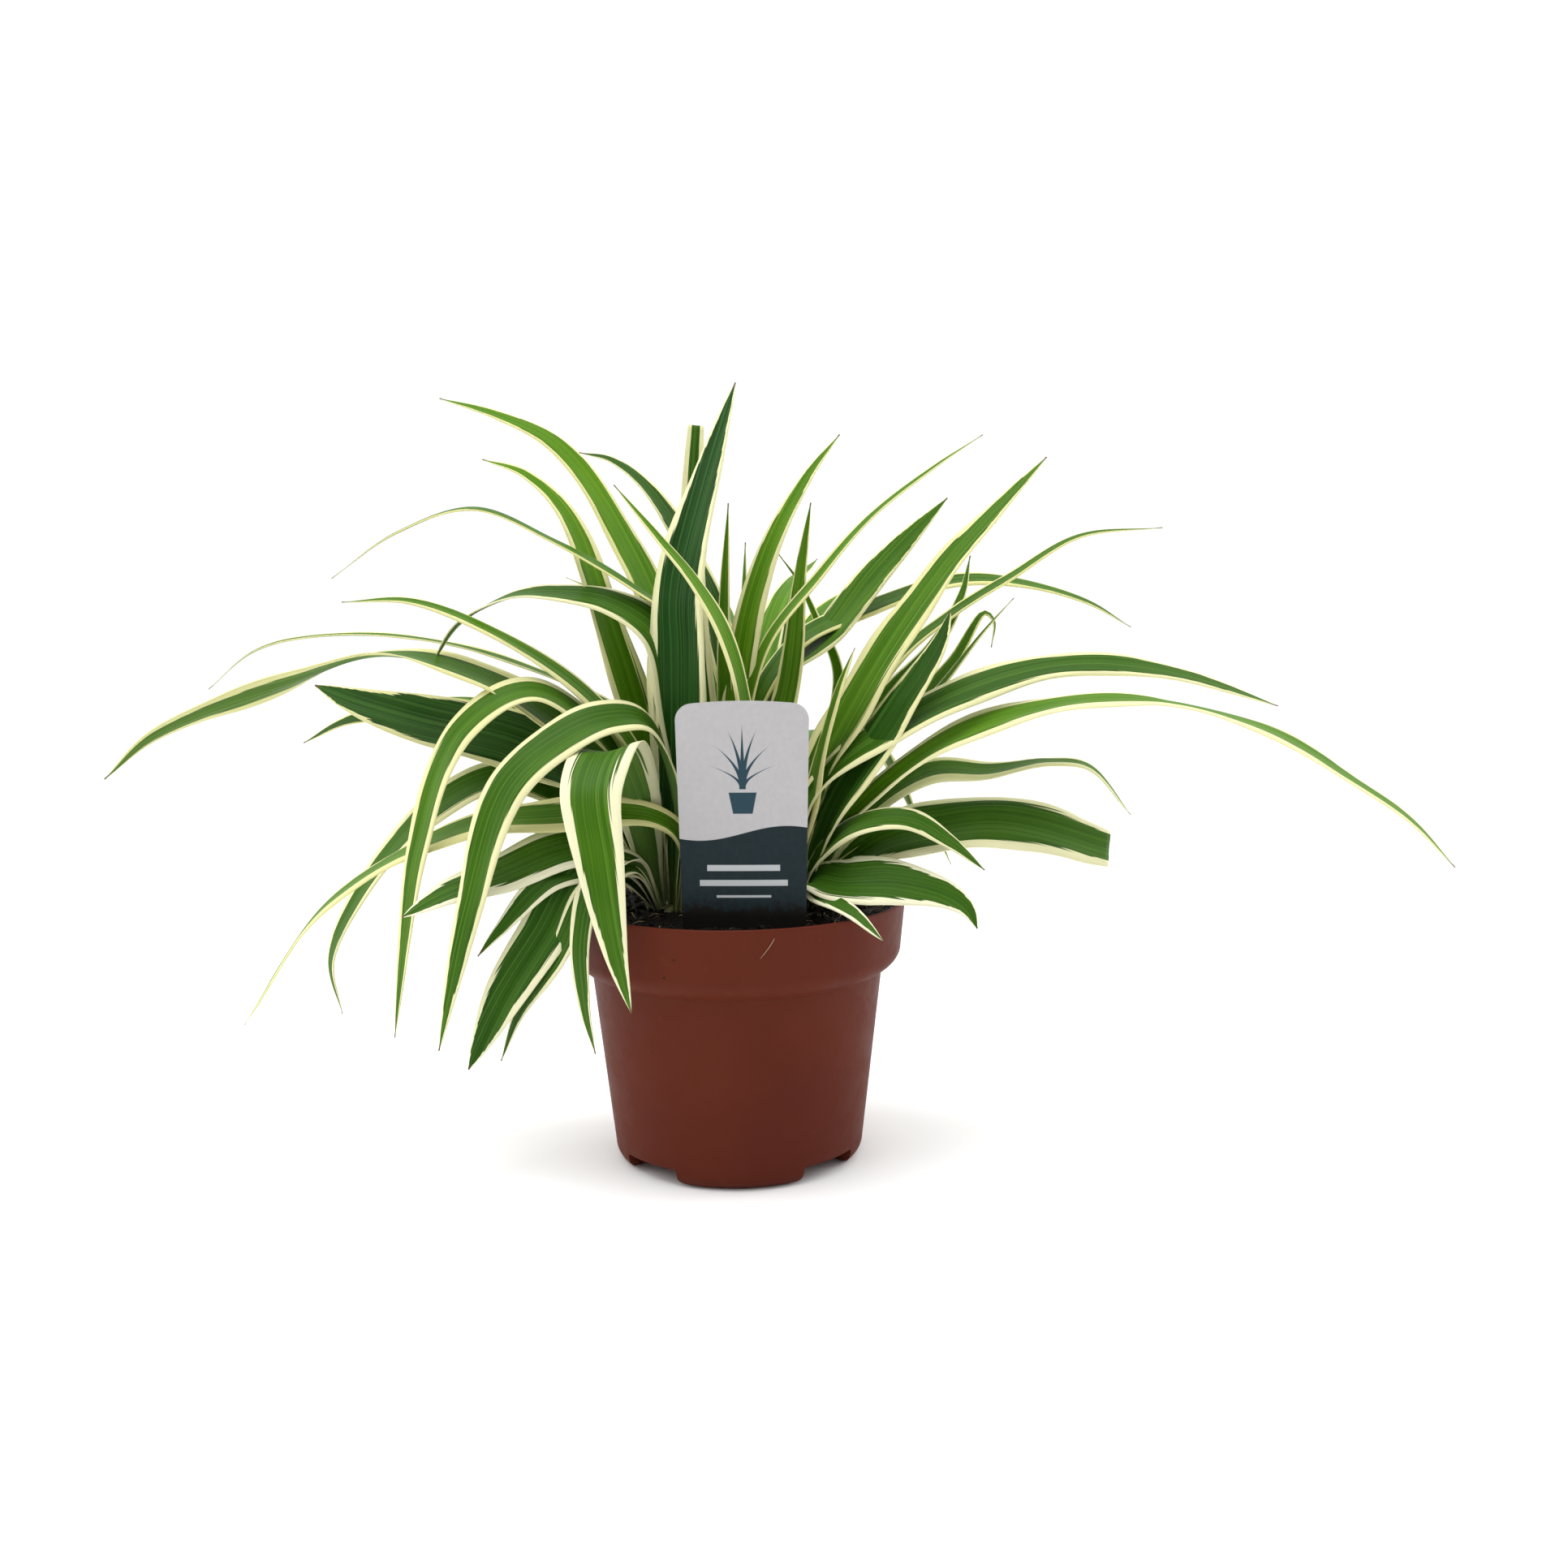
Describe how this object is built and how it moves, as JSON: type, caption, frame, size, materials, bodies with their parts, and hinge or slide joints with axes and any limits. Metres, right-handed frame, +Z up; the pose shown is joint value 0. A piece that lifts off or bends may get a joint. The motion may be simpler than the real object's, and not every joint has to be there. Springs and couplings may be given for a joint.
{
  "type": "potted spider plant",
  "caption": "Variegated spider plant with long arching striped leaves, in soil in a round nursery pot on low feet, with a plain plant label.",
  "frame": {"origin": "middle of the pot's foot ring, on the surface the pot stands on", "axes": "+Z up, +X to the viewer's right, -Y towards the viewer, where the plant label stands"},
  "size_m": [0.401, 0.2537, 0.2702],
  "materials": {
    "pot_plastic": "satin",
    "soil": "matte",
    "label_card": "satin",
    "leaf": "satin"
  },
  "bodies": {
    "root": {"pot": "pot_plastic", "soil": "soil", "label": "label_card", "rosette_left": "leaf", "rosette_centre": "leaf", "rosette_right": "leaf", "rosette_back": "leaf"}
  },
  "joints": []
}
